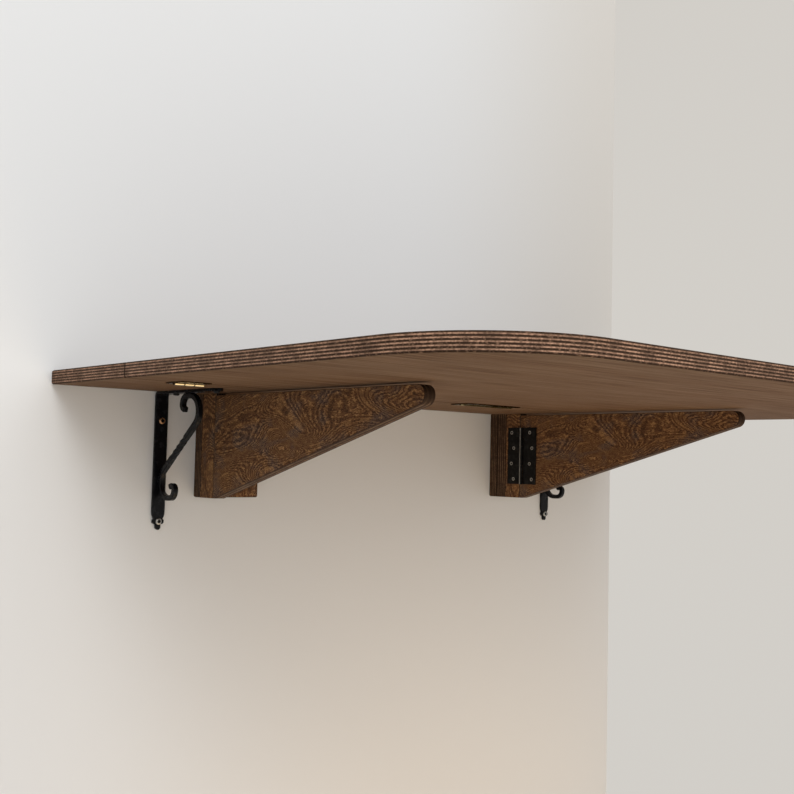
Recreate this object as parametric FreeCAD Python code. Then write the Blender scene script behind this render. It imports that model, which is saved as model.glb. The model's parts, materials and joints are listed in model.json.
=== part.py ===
import FreeCAD, Part
import math
import os

# Wall mounted drop leaf table.
#
# Frame, in millimetres: X runs along the wall, +Y points into the wall and +Z is up. The origin is
# the middle of the shelf board's rear edge, on its underside, so the wall is the plane Y = 0 and
# everything but the points of the wall screws is at Y < 0. Left and right are as seen from the room.
#
# A plywood shelf board is carried by two scrolled iron brackets and by two wooden wall plates.
# Each plate carries a hinge post, and each post a gate arm on a steel butt hinge. The arms stand
# out under the drop leaf, which hangs on the shelf's front edge from three brass flap hinges.

V = FreeCAD.Vector

# ---- Driving dimensions ------------------------------------------------------------------------

# Top: the fixed shelf board and the drop leaf
top_width = 1200.0
top_depth = 820.0  # wall to the leaf's front edge
top_thickness = 19.0
shelf_depth = 205.0
joint_gap = 1.0  # between the shelf and the leaf
front_corner_radius = 145.0
board_edge_ease = 1.2  # the flat planed off the boards' edges

# Wooden gate brackets
bracket_height = 152.0
plate_width = 101.0
plate_thickness = 18.0
plate_corner_round = 3.0
post_width = 18.0
post_depth = 33.5
timber_edge_ease = 0.8  # the flat planed off each sharp edge
left_post_inset = 226.6  # each post's left face, from the top's end on its own side
right_post_inset = 340.5
fold_clearance = 4.0  # between the two arms when both lie folded
wall_screw_spacing = 100.0
wall_screw_hole_radius = 2.6

# Gate arms
arm_thickness = 18.0
arm_reach = 442.0  # root to the end of the nose
arm_nose_radius = 12.5
arm_foot_flat = 3.0  # level stretch of the lower edge, before it rises
arm_root_gap = 1.0  # between the post and the arm's root
arm_pass_clearance = 0.3  # the arms' top edges pass this far under the middle flap hinge

# Steel butt hinges of the arms
arm_hinge_length = 102.0
arm_hinge_drop = 25.5  # underside to the hinge's top end
arm_hinge_shift = 5.5  # the pin's axis, out past the joint of arm and post
arm_hinge_leaf = 33.5  # from the pin's axis to the leaf's edge
arm_hinge_thickness = 2.0
arm_hinge_barrel_radius = 3.2
arm_hinge_pin_radius = 1.5
arm_hinge_knuckles = 3
arm_hinge_screw_rows = 4
arm_hinge_row_inset = 9.0  # first and last screw, from the hinge's ends
arm_hinge_near_screw = 19.0  # the screws step between these two distances from the pin
arm_hinge_far_screw = 24.5

# Brass flap hinges
flap_hinge_side = {"length": 43.0, "barrel": 3.6, "pin": 1.4, "rows": 2}
flap_hinge_middle = {"length": 117.0, "barrel": 2.1, "pin": 1.0, "rows": 4}
flap_hinge_side_inset = 89.0  # hinge centre from the table's end
flap_hinge_middle_x = 31.0
flap_hinge_leaf = 20.0
flap_hinge_thickness = 1.6
flap_hinge_axis_drop = 0.7  # the three pins' common axis, below the underside
flap_hinge_knuckles = 3
flap_hinge_row_inset = 8.0
flap_hinge_screw_reach = 12.5
barrel_groove_clearance = 0.4

# Both kinds of hinge
knuckle_gap = 0.3
knuckle_side_clearance = 0.4
pin_clearance = 0.05

# Scrolled iron brackets
left_iron_inset = 167.0  # each bracket's middle, from the top's end on its own side
right_iron_inset = 188.5
iron_width = 20.0
iron_thickness = 4.0
iron_wall_leg = 198.5  # corner to the end of the tip
iron_shelf_leg = 160.0
iron_bend_radius = 2.0  # inside the corner
iron_top_screw_drop = 42.0
iron_inner_screw_reach = 42.0
tip_lobe_radius = 4.3
tip_lobe_spread = 5.0  # each side lobe's centre, from the middle
tip_lobe_step = 8.0  # side lobes to the end lobe, along the leg
tip_waist_half_width = 7.4
tip_waist_reach = 4.3  # side lobes back to the waist
tip_shoulder_length = 9.0

# The scroll: a square bar whose two halves curl off a twisted diagonal
scroll_bar = 7.6
scroll_reach = 105.0  # wall to the bar's centre line, at the upper curl
scroll_seat_drop = 132.0  # underside to the lowest point where the scroll leaves the wall leg
scroll_upper_radius = 22.4
scroll_upper_seat = 9.0  # flat stretch against the shelf leg
scroll_upper_curl_radii = (12.0, 7.0)
scroll_upper_curl_turns = (90.0, 75.0)
scroll_lower_bend_radius = 20.0
scroll_lower_seat = 3.0
scroll_lower_radius = 20.0
scroll_lower_flat = 7.8
scroll_lower_curl_radii = (11.5, 6.0)
scroll_lower_curl_turns = (90.0, 120.0)
twist_length = 46.0
twist_quarters = 4
twist_steps_per_quarter = 3

# Screws: head radius, shank radius and length
flap_screw = {"head": 2.7, "shank": 1.3, "length": 12.0}
arm_hinge_screw = {"head": 3.4, "shank": 1.7, "length": 14.0}
post_screw = {"head": 4.0, "shank": 2.0, "length": 42.0}
iron_wall_screw = {"head": 5.3, "shank": 2.3, "length": 40.0}
iron_shelf_screw = {"head": 4.9, "shank": 2.3, "length": 16.0}
iron_screw_thread_radius = 1.9  # in the wall, past the bracket
pan_head_height = 2.6
small_sides = 8  # a screw, its hole and a hinge's bore are prisms with this many sides
screw_clearance = 0.05

# ---- Sizes that follow --------------------------------------------------------------------------

half_width = top_width / 2
flap_axis_y = -shelf_depth - joint_gap / 2
left_post_x = left_post_inset - half_width
right_post_x = half_width - right_post_inset
left_iron_x = left_iron_inset - half_width
right_iron_x = half_width - right_iron_inset
arm_top_z = -flap_hinge_axis_drop - flap_hinge_middle["barrel"] - arm_pass_clearance
packer_thickness = arm_thickness + fold_clearance
solids = {}


# ---- Shapes -------------------------------------------------------------------------------------

def box(x, y, z):
    """A box from its (low, high) pairs along each axis."""
    low = V(x[0], y[0], z[0])
    return Part.makeBox(x[1] - x[0], y[1] - y[0], z[1] - z[0], low)


def facing(point, along_x, along_y):
    """The placement that turns the local X and Y axes to the two given directions."""
    z = along_x.cross(along_y)
    turn = FreeCAD.Matrix(
        along_x.x, along_y.x, z.x, 0,
        along_x.y, along_y.y, z.y, 0,
        along_x.z, along_y.z, z.z, 0,
        0, 0, 0, 1,
    )
    return FreeCAD.Placement(point, FreeCAD.Rotation(turn))


def placed(shape, placement):
    copy = shape.copy()
    copy.Placement = placement.multiply(shape.Placement)
    return copy


def joined(shapes):
    """One solid from shapes that touch or overlap."""
    return shapes[0].multiFuse(shapes[1:]).removeSplitter()


def skinned(rings):
    """A closed solid with flat triangles between each ring of points and the next."""
    faces = [Part.Face(Part.makePolygon(ring + ring[:1])) for ring in (rings[0], rings[-1])]
    count = len(rings[0])
    for low, high in zip(rings, rings[1:]):
        for i in range(count):
            k = (i + 1) % count
            for corners in ((low[i], low[k], high[k]), (low[i], high[k], high[i])):
                faces.append(Part.Face(Part.makePolygon([*corners, corners[0]])))
    return Part.makeSolid(Part.makeShell(faces)).removeSplitter()


def prism_of(outline, grow=0.0):
    """A many-sided solid about the local Z axis, from (corner radius, height) pairs up its side."""
    steps = [2 * math.pi * (k + 0.5) / small_sides for k in range(small_sides)]
    return skinned([
        [V((r + grow) * math.cos(a), (r + grow) * math.sin(a), z) for a in steps]
        for r, z in outline
    ])


def rounded(shape, radius, keep):
    """Round the straight and curved edges for which keep(centre) is true."""
    edges = [e for e in shape.Edges if keep(e.CenterOfMass)]
    return shape.makeFillet(radius, edges)


def eased(shape, size, keep):
    """Plane a narrow flat on the edges for which keep(centre) is true."""
    edges = [e for e in shape.Edges if keep(e.CenterOfMass)]
    return shape.makeChamfer(size, edges)


def near(a, b):
    return abs(a - b) < 0.01


# ---- Screws -------------------------------------------------------------------------------------
# A screw points along its local +Z, with the seat of its head at 0.

def flat_screw(size, grow=0.0):
    """A countersunk screw, with its head's flat top at 0. A hole is the same screw, grown."""
    head, shank, end = size["head"], size["shank"], size["length"] + grow
    mouth = [(head, -1.0)] if grow else []
    return prism_of(mouth + [(head, 0), (shank, head - shank), (shank, end)], grow)


def pan_screw(size):
    """A pan head screw for wood, with a domed head."""
    head, shank, end = size["head"], size["shank"], size["length"]
    dome = [(head * 0.6, -pan_head_height), (head, -pan_head_height * 0.4), (head, 0)]
    return joined([prism_of(dome), prism_of([(shank, -pan_head_height / 2), (shank, end)])])


def wall_screw(size):
    """A pan head screw whose round thread stands out behind the wall face of its bracket."""
    thread = Part.makeCylinder(iron_screw_thread_radius, size["length"] - iron_thickness,
                               V(0, 0, iron_thickness))
    return joined([pan_screw(dict(size, length=iron_thickness)), thread])


def shank_hole(size):
    """What a pan head screw's shank takes out of the pieces that it goes through."""
    return prism_of([(size["shank"], -1), (size["shank"], size["length"] + screw_clearance)],
                    screw_clearance)


def driven(point, direction):
    """The placement of a screw that goes from a point along a direction."""
    return FreeCAD.Placement(point, FreeCAD.Rotation(V(0, 0, 1), direction))


def fit_screws(node, screw, hole, places, hosts):
    """Add a node of like screws, and cut the holes that they fill out of the pieces they hold."""
    solids[node] = Part.makeCompound([placed(screw, driven(*place)) for place in places])
    holes = [placed(hole, driven(*place)) for place in places]
    for host in hosts:
        solids[host] = solids[host].cut(holes)


# ---- Boards -------------------------------------------------------------------------------------

def shelf_board():
    board = box((-half_width, half_width), (-shelf_depth, 0), (0, top_thickness))
    return eased(board, board_edge_ease, lambda c: not near(c.y, 0))


def drop_leaf_board():
    """The leaf has two round front corners, and its edges are eased above and below."""
    back, front = -shelf_depth - joint_gap, -top_depth
    side, r = half_width, front_corner_radius
    cut = r * (1 - math.sqrt(0.5))
    points = {
        "back_left": V(-side, back, 0), "back_right": V(side, back, 0),
        "right_side": V(side, front + r, 0), "right_arc": V(side - cut, front + cut, 0),
        "right_front": V(side - r, front, 0), "left_front": V(-side + r, front, 0),
        "left_arc": V(-side + cut, front + cut, 0), "left_side": V(-side, front + r, 0),
    }

    def line(a, b):
        return Part.LineSegment(points[a], points[b]).toShape()

    def arc(a, b, c):
        return Part.Arc(points[a], points[b], points[c]).toShape()

    outline = Part.Wire([
        line("back_left", "back_right"), line("back_right", "right_side"),
        arc("right_side", "right_arc", "right_front"), line("right_front", "left_front"),
        arc("left_front", "left_arc", "left_side"), line("left_side", "back_left"),
    ])
    board = Part.Face(outline).extrude(V(0, 0, top_thickness))
    return eased(board, board_edge_ease, lambda c: not near(c.z, top_thickness / 2))


# ---- Wooden gate brackets -----------------------------------------------------------------------

def wall_plate(post_x):
    """A plate that lies on the wall, with the lower corner of its free end rounded."""
    end = post_x + plate_width
    plate = box((post_x, end), (-plate_thickness, 0), (-bracket_height, 0))
    plate = rounded(plate, plate_corner_round,
                    lambda c: near(c.x, end) and near(c.z, -bracket_height))
    front = -plate_thickness
    return eased(plate, timber_edge_ease, lambda c: near(c.y, front) and c.z < -timber_edge_ease)


def wall_screw_holes(post_x):
    """Two holes, one over the other, in the middle of what the post leaves bare."""
    x = post_x + (post_width + plate_width) / 2
    heights = [(side * wall_screw_spacing - bracket_height) / 2 for side in (-1, 1)]
    return [
        Part.makeCylinder(wall_screw_hole_radius, plate_thickness + 2, V(x, 1, z), V(0, -1, 0))
        for z in heights
    ]


def hinge_post(post_x, back):
    x = (post_x, post_x + post_width)
    post = box(x, (-back - post_depth, -back), (-bracket_height, 0))
    front = -back - post_depth
    return eased(post, timber_edge_ease, lambda c: near(c.y, front) and c.z < 0)


def gate_arm(post_x, stand_off):
    """An arm with a level top, a short level foot and a lower edge that rises to a round nose."""
    root = -stand_off - arm_root_gap
    nose = V(0, root - arm_reach + arm_nose_radius, arm_top_z - arm_nose_radius)
    foot = V(0, root - arm_foot_flat, -bracket_height)
    span = nose - foot
    rise = math.atan2(span.z, -span.y) - math.asin(arm_nose_radius / span.Length)
    under = nose + V(0, -math.sin(rise), -math.cos(rise)) * arm_nose_radius
    middle = (math.pi - rise) / 2 + rise
    front = nose + V(0, -math.sin(middle), -math.cos(middle)) * arm_nose_radius
    over = nose + V(0, 0, arm_nose_radius)
    top_root, low_root = V(0, root, arm_top_z), V(0, root, -bracket_height)
    outline = Part.Wire([
        Part.LineSegment(low_root, foot).toShape(), Part.LineSegment(foot, under).toShape(),
        Part.Arc(under, front, over).toShape(), Part.LineSegment(over, top_root).toShape(),
        Part.LineSegment(top_root, low_root).toShape(),
    ])
    arm = Part.Face(outline).extrude(V(arm_thickness, 0, 0))
    arm.translate(V(post_x, 0, 0))
    faces = (post_x, post_x + arm_thickness)
    return eased(arm, timber_edge_ease, lambda c: any(near(c.x, x) for x in faces))


# ---- Hinges -------------------------------------------------------------------------------------
# A hinge's pin lies on its local Z axis. The fixed leaf runs along +X, the moving leaf along -X,
# and both lie on wood whose face is at Y = seat, with the wood beyond it.

def knuckle_spans(length, count):
    pitch = length / count
    low = [i * pitch + (knuckle_gap / 2 if i else 0) for i in range(count)]
    high = [(i + 1) * pitch - (knuckle_gap / 2 if i < count - 1 else 0) for i in range(count)]
    return list(zip(low, high))


def hinge_leaf(side, spans, length, leaf, thickness, barrel, pin, seat):
    """One leaf with its own knuckles: side is 1 for the fixed leaf and -1 for the moving one."""
    inner, outer = barrel + knuckle_side_clearance, leaf
    pieces = [box(sorted((side * inner, side * outer)), (seat - thickness, seat), (0, length))]
    for low, high in spans:
        bridge = box(sorted((0, side * inner)), (seat - thickness, seat), (low, high))
        pieces += [Part.makeCylinder(barrel, high - low, V(0, 0, low)), bridge]
    bore = (pin + pin_clearance) / math.cos(math.pi / small_sides)
    return joined(pieces).cut(prism_of([(bore, -1), (bore, length + 1)]))


def fit_hinge(name, at, length, count, sizes, seat, screws, fixed, moving):
    """Add a hinge's leaves, pin and screws. fixed and moving name the boards under its leaves."""
    leaf, thickness, barrel, pin = sizes
    spans = knuckle_spans(length, count)
    for side, kind, part in ((1, "fixed", 0), (-1, "moving", 1)):
        shape = hinge_leaf(side, spans[part::2], length, leaf, thickness, barrel, pin, seat)
        solids[f"{name}_{kind}_leaf"] = placed(shape, at)
    solids[f"{name}_pin"] = placed(Part.makeCylinder(pin, length), at)
    size, fixed_rows, moving_rows = screws
    inward = at.Rotation.multVec(V(0, 1, 0))
    for side, kind, host, rows in ((1, "fixed", fixed, fixed_rows), (-1, "moving", moving, moving_rows)):
        places = [(at.multVec(V(side * x, seat - thickness, z)), inward) for x, z in rows]
        hosts = [f"{name}_{kind}_leaf", host]
        node = f"{name}_{kind}_screws"
        fit_screws(node, flat_screw(size), flat_screw(size, screw_clearance), places, hosts)


def screw_rows(length, inset, count, reaches):
    """Evenly spaced rows along a hinge, which step through the given distances from the pin."""
    pitch = (length - 2 * inset) / (count - 1)
    return [(reaches[i % len(reaches)], inset + i * pitch) for i in range(count)]


def arm_hinge_rows(*reaches):
    return screw_rows(arm_hinge_length, arm_hinge_row_inset, arm_hinge_screw_rows, reaches)


def fit_arm_hinge(side, post_x, stand_off):
    """The left arm's hinge is on its right face and the right arm's on its left, so both fold in."""
    outward = V(1, 0, 0) if side == "left" else V(-1, 0, 0)
    face = post_x + post_width if side == "left" else post_x
    start = -arm_hinge_drop - (arm_hinge_length if side == "left" else 0)
    joint = -stand_off - arm_root_gap / 2
    pin_at = V(face, joint - arm_hinge_shift, start) + outward * arm_hinge_barrel_radius
    rows = (arm_hinge_rows(arm_hinge_far_screw, arm_hinge_near_screw),
            arm_hinge_rows(arm_hinge_near_screw, arm_hinge_far_screw))
    sizes = (arm_hinge_leaf, arm_hinge_thickness, arm_hinge_barrel_radius, arm_hinge_pin_radius)
    fit_hinge(
        f"{side}_arm_hinge", facing(pin_at, V(0, 1, 0), -outward), arm_hinge_length,
        arm_hinge_knuckles, sizes, arm_hinge_barrel_radius, (arm_hinge_screw, *rows),
        f"{side}_hinge_post", f"{side}_arm",
    )


def fit_flap_hinge(name, centre_x, hinge):
    """The barrel is let into a groove along the joint, so the arms can swing past under it."""
    length, barrel, drop = hinge["length"], hinge["barrel"], flap_hinge_axis_drop
    at = facing(V(centre_x - length / 2, flap_axis_y, -drop), V(0, 1, 0), V(0, 0, 1))
    room = barrel + barrel_groove_clearance
    groove = Part.makeCylinder(room, length + 2 * barrel_groove_clearance,
                               V(0, 0, -barrel_groove_clearance))
    for board in ("shelf_board", "drop_leaf_board"):
        solids[board] = solids[board].cut(placed(groove, at))
    sizes = (flap_hinge_leaf, flap_hinge_thickness, barrel, hinge["pin"])
    rows = screw_rows(length, flap_hinge_row_inset, hinge["rows"], (flap_hinge_screw_reach,))
    fit_hinge(name, at, length, flap_hinge_knuckles, sizes, drop, (flap_screw, rows, rows),
              "shelf_board", "drop_leaf_board")


# ---- Scrolled iron brackets ---------------------------------------------------------------------

def forged_tip():
    """A leg's end: shoulders, a waist and three lobes, along local +Z to 0. The screw's centre is
    between the two side lobes."""
    w, t, r = iron_width / 2, iron_thickness, tip_lobe_radius
    neck = r * math.cos(math.pi / small_sides)
    end_z = -neck
    eye_z = end_z - tip_lobe_step
    waist_z = eye_z - tip_waist_reach
    root = waist_z - tip_shoulder_length
    side = [(w, root), (w * 0.95, root + tip_shoulder_length / 2), (tip_waist_half_width, waist_z),
            (neck, eye_z), (neck, end_z)]
    points = [V(x, 0, z) for x, z in side] + [V(-x, 0, z) for x, z in reversed(side)]
    pieces = [Part.Face(Part.makePolygon(points + points[:1])).extrude(V(0, t, 0))]
    for x, z in ((0, end_z), (tip_lobe_spread, eye_z), (-tip_lobe_spread, eye_z)):
        lobe = prism_of([(r, 0), (r, t)])
        pieces.append(placed(lobe, facing(V(x, 0, z), V(0, 0, 1), V(1, 0, 0))))
    return joined(pieces), root, eye_z


def iron_angle(x):
    """Both legs of the bent flat bar, each with its forged tip. Returns the eyes' distances too."""
    tip, root, eye = forged_tip()
    t, w = iron_thickness, iron_width
    outer, inner = iron_bend_radius + t, iron_bend_radius
    wall_end, shelf_end = iron_wall_leg + root, iron_shelf_leg + root
    turn = math.sqrt(0.5)
    bend = V(0, -outer, -outer)
    corner = Part.Wire([
        Part.LineSegment(V(0, -shelf_end, 0), V(0, -outer, 0)).toShape(),
        Part.Arc(V(0, -outer, 0), bend + V(0, outer * turn, outer * turn), V(0, 0, -outer)).toShape(),
        Part.LineSegment(V(0, 0, -outer), V(0, 0, -wall_end)).toShape(),
        Part.LineSegment(V(0, 0, -wall_end), V(0, -t, -wall_end)).toShape(),
        Part.LineSegment(V(0, -t, -wall_end), V(0, -t, -outer)).toShape(),
        Part.Arc(V(0, -t, -outer), bend + V(0, inner * turn, inner * turn), V(0, -outer, -t)).toShape(),
        Part.LineSegment(V(0, -outer, -t), V(0, -shelf_end, -t)).toShape(),
        Part.LineSegment(V(0, -shelf_end, -t), V(0, -shelf_end, 0)).toShape(),
    ])
    legs = Part.Face(corner).extrude(V(w, 0, 0))
    legs.translate(V(x - w / 2, 0, 0))
    low = facing(V(x, 0, -iron_wall_leg), V(1, 0, 0), V(0, -1, 0))
    out = facing(V(x, -iron_shelf_leg, 0), V(-1, 0, 0), V(0, 0, -1))
    shape = joined([legs, placed(tip, low), placed(tip, out)])
    return shape, iron_wall_leg + eye, iron_shelf_leg + eye


def bar_along(start, heading, moves):
    """A flat ribbon of the bar's width along lines and left-hand arcs, with a blunt end.

    The path lies in a plane whose first axis points out from the wall and whose second is up.
    Each move is (length, 0) for a line or (radius, degrees) for an arc.
    """
    half = scroll_bar / 2

    def spot(p, angle, aside):
        return V(0, -(p[0] - aside * math.sin(angle)), p[1] + aside * math.cos(angle))

    left, right = [], []
    p, angle = start, heading
    for size, degrees in moves:
        if degrees:
            turn = math.radians(degrees)
            centre = (p[0] - size * math.sin(angle), p[1] + size * math.cos(angle))
            at = lambda a: (centre[0] + size * math.sin(a), centre[1] - size * math.cos(a))
            stops = [(at(angle + turn * k / 2), angle + turn * k / 2) for k in (0, 1, 2)]
            for side, aside in ((left, half), (right, -half)):
                side.append(Part.Arc(*[spot(q, a, aside) for q, a in stops]).toShape())
            p, angle = stops[2]
        else:
            q = (p[0] + size * math.cos(angle), p[1] + size * math.sin(angle))
            for side, aside in ((left, half), (right, -half)):
                ends = spot(p, angle, aside), spot(q, angle, aside)
                side.append(Part.LineSegment(*ends).toShape())
            p = q
    q = (p[0] + half * math.cos(angle), p[1] + half * math.sin(angle))
    blunt = [spot(p, angle, half), spot(q, angle, half / 2), spot(q, angle, -half / 2),
             spot(p, angle, -half)]
    ends = [spot(start, heading, half), spot(start, heading, -half)]
    edges = left + right + Part.makePolygon(blunt).Edges + Part.makePolygon(ends).Edges
    outline = Part.Wire(Part.__sortEdges__(edges))
    ribbon = Part.Face(outline).extrude(V(scroll_bar, 0, 0))
    ribbon.translate(V(-scroll_bar / 2, 0, 0))
    return ribbon


def twisted_bar(start, end):
    """The square bar between two points of the scroll's plane, turned by whole quarters."""
    length = math.dist(start, end)
    along = V(0, start[0] - end[0], end[1] - start[1]) / length
    across, aside = V(1, 0, 0), along.cross(V(1, 0, 0))
    steps = twist_quarters * twist_steps_per_quarter
    corner = scroll_bar * math.sqrt(0.5)
    rings = []
    for step in range(steps + 1):
        centre = V(0, -start[0], start[1]) + along * (length * step / steps)
        turn = math.radians(90.0 * twist_quarters * step / steps + 45)
        angles = [turn + math.pi / 2 * k for k in range(4)]
        rings.append([
            centre + (across * math.cos(a) + aside * math.sin(a)) * corner for a in angles
        ])
    return skinned(rings)


def scroll_brace():
    """The scroll in the plane X = 0. Its diagonal is the line that touches both main bends."""
    seat = iron_thickness + scroll_bar / 2
    upper = (scroll_reach - scroll_upper_radius, -seat - scroll_upper_radius)
    lower = (seat + scroll_lower_bend_radius, -scroll_seat_drop + scroll_lower_seat)
    span = math.dist(upper, lower)
    lean = math.atan2(upper[1] - lower[1], upper[0] - lower[0])
    slope = lean - math.asin((scroll_upper_radius + scroll_lower_bend_radius) / span)
    out, up = math.cos(slope), math.sin(slope)
    high = (upper[0] + scroll_upper_radius * up, upper[1] - scroll_upper_radius * out)
    low = (lower[0] - scroll_lower_bend_radius * up, lower[1] + scroll_lower_bend_radius * out)
    stub = (math.dist(high, low) - twist_length) / 2
    twist_high = (high[0] - stub * out, high[1] - stub * up)
    twist_low = (low[0] + stub * out, low[1] + stub * up)
    upper_moves = [(stub, 0), (scroll_upper_radius, 180 - math.degrees(slope)), (scroll_upper_seat, 0)]
    upper_moves += zip(scroll_upper_curl_radii, scroll_upper_curl_turns)
    lower_moves = [(stub, 0), (scroll_lower_bend_radius, 90 - math.degrees(slope))]
    lower_moves += [(scroll_lower_seat, 0), (scroll_lower_radius, 90), (scroll_lower_flat, 0)]
    lower_moves += zip(scroll_lower_curl_radii, scroll_lower_curl_turns)
    return joined([
        bar_along(twist_high, slope, upper_moves),
        bar_along(twist_low, slope + math.pi, lower_moves),
        twisted_bar(twist_low, twist_high),
    ])


def fit_iron_bracket(side, x):
    """The bent bar and the scroll that is welded into it, with two wall and two shelf screws."""
    angle, wall_eye, shelf_eye = iron_angle(x)
    scroll = scroll_brace()
    scroll.translate(V(x, 0, 0))
    solids[f"{side}_iron_angle"] = angle
    solids[f"{side}_iron_scroll"] = scroll
    into_wall, up = V(0, 1, 0), V(0, 0, 1)
    angle_only, with_shelf = [f"{side}_iron_angle"], [f"{side}_iron_angle", "shelf_board"]
    screw, hole = wall_screw(iron_wall_screw), shank_hole(iron_wall_screw)
    for name, drop in (("top", iron_top_screw_drop), ("tip", wall_eye)):
        place = (V(x, -iron_thickness, -drop), into_wall)
        fit_screws(f"{side}_iron_{name}_screw", screw, hole, [place], angle_only)
    places = [(V(x, -y, -iron_thickness), up) for y in (iron_inner_screw_reach, shelf_eye)]
    screw, hole = pan_screw(iron_shelf_screw), shank_hole(iron_shelf_screw)
    fit_screws(f"{side}_iron_shelf_screws", screw, hole, places, with_shelf)


# ---- The table ----------------------------------------------------------------------------------

def fit_gate_bracket(side, post_x, packing):
    """A wall plate, the hinge post that is screwed to it from behind over its packing, and the
    arm."""
    post_back = plate_thickness + packing
    stand_off = post_back + post_depth
    plate, packer, post = f"{side}_wall_plate", f"{side}_packer", f"{side}_hinge_post"
    solids[plate] = wall_plate(post_x).cut(wall_screw_holes(post_x))
    if packing:
        x = (post_x, post_x + post_width)
        solids[packer] = box(x, (-post_back, -plate_thickness), (-bracket_height, 0))
    solids[post] = hinge_post(post_x, post_back)
    solids[f"{side}_arm"] = gate_arm(post_x, stand_off)
    hosts = [node for node in (plate, packer, post) if node in solids]
    rows = [z for _, z in arm_hinge_rows(0)]
    heights = [-arm_hinge_drop - (a + b) / 2 for a, b in zip(rows, rows[1:])]
    size = dict(post_screw, length=post_screw["length"] + packing)
    places = [(V(post_x + post_width / 2, 0, z), V(0, -1, 0)) for z in heights]
    fit_screws(f"{side}_post_screws", flat_screw(size), flat_screw(size, screw_clearance),
               places, hosts)
    fit_arm_hinge(side, post_x, stand_off)


solids["shelf_board"] = shelf_board()
solids["drop_leaf_board"] = drop_leaf_board()
fit_gate_bracket("left", left_post_x, 0.0)
fit_gate_bracket("right", right_post_x, packer_thickness)
side_x = half_width - flap_hinge_side_inset
fit_flap_hinge("left_flap_hinge", -side_x, flap_hinge_side)
fit_flap_hinge("middle_flap_hinge", flap_hinge_middle_x, flap_hinge_middle)
fit_flap_hinge("right_flap_hinge", side_x, flap_hinge_side)
fit_iron_bracket("left", left_iron_x)
fit_iron_bracket("right", right_iron_x)

os.makedirs("parts", exist_ok=True)
for name, solid in solids.items():
    solid.exportStep(f"parts/{name}.step")
print(len(solids), "nodes")
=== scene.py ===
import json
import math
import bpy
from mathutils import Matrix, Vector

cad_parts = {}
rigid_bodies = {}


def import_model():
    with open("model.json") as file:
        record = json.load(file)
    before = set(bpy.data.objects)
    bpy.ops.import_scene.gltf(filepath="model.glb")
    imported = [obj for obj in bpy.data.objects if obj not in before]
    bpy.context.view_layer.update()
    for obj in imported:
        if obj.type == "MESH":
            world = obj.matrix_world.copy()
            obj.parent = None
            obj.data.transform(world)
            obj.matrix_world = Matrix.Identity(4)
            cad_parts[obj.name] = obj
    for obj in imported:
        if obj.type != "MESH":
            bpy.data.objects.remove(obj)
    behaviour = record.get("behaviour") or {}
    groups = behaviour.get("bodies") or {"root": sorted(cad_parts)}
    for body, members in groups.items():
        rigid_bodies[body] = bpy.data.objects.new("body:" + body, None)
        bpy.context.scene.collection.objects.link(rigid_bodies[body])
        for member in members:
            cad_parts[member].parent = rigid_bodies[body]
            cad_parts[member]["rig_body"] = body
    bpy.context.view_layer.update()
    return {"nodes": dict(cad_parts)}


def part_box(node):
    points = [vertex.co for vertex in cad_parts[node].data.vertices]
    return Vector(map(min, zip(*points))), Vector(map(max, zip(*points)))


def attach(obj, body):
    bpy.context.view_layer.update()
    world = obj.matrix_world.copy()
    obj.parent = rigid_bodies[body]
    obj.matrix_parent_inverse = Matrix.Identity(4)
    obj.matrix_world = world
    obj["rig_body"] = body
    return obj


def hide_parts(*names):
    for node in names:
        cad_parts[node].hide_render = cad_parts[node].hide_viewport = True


bl_info = {
    "name": "Wall Mounted Drop Leaf Table",
    "version": (1, 0, 0),
    "blender": (4, 5, 0),
    "location": "3D View > Sidebar > Drop Leaf Table",
    "description": "Dresses the boards, gate brackets, hinges, ironwork and screws of a wall table",
    "category": "Object",
}

import bmesh
import bpy
from mathutils import Matrix, Vector

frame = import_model()

MM = 0.001
X, Y, Z = range(3)
SIDES = ("left", "right")
FLAP_HINGES = ("left", "middle", "right")
CLOSE = 1e-5  # how near to a face a corner counts as on it, in metres

# How a panel lies: it is turned so that its grain runs along X and its layers lie along Z.
GRAIN_SIDEWAYS = Matrix.Identity(3)
GRAIN_OUTWARDS = Matrix(((0, 1, 0), (0, 0, 1), (1, 0, 0)))
GRAIN_UPRIGHT = Matrix(((0, 0, 1), (0, 1, 0), (-1, 0, 0)))
FLAT_ON_WALL = Matrix(((0, 0, 1), (1, 0, 0), (0, 1, 0)))

# The wood of the gate brackets: each kind of piece, how it lies and its number of layers.
BRACKET_PANELS = (
    ("arm", GRAIN_OUTWARDS, 5),
    ("hinge_post", GRAIN_UPRIGHT, 9),
    ("wall_plate", FLAT_ON_WALL, 9),
    ("packer", FLAT_ON_WALL, 9),
)
BOARD_PLIES = 11

# Screws, in millimetres: the radius of the head and of the shank.
FLAP_HINGE_SCREW = (2.5, 1.3)
ARM_HINGE_SCREW = (3.15, 1.7)
POST_SCREW = (3.7, 2.0)
WALL_SCREW = (4.89, 2.3)
SHELF_SCREW = (4.5, 2.3)

# A pan head: (share of its radius, depth in millimetres) from its flat to its underside.
PAN_HEAD = ((0.70, 0.0), (0.86, 0.30), (0.96, 0.9), (1.0, 1.7), (0.98, 2.6))
PAN_SIDES = 24

# Crossed recesses, as shares of the head's radius: reach and half width of an arm, and depth.
FLAT_RECESS = (0.60, 0.30, 0.60)
PAN_RECESS = (0.56, 0.30, 0.42)
RECESS_TAPER = 0.75

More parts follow.
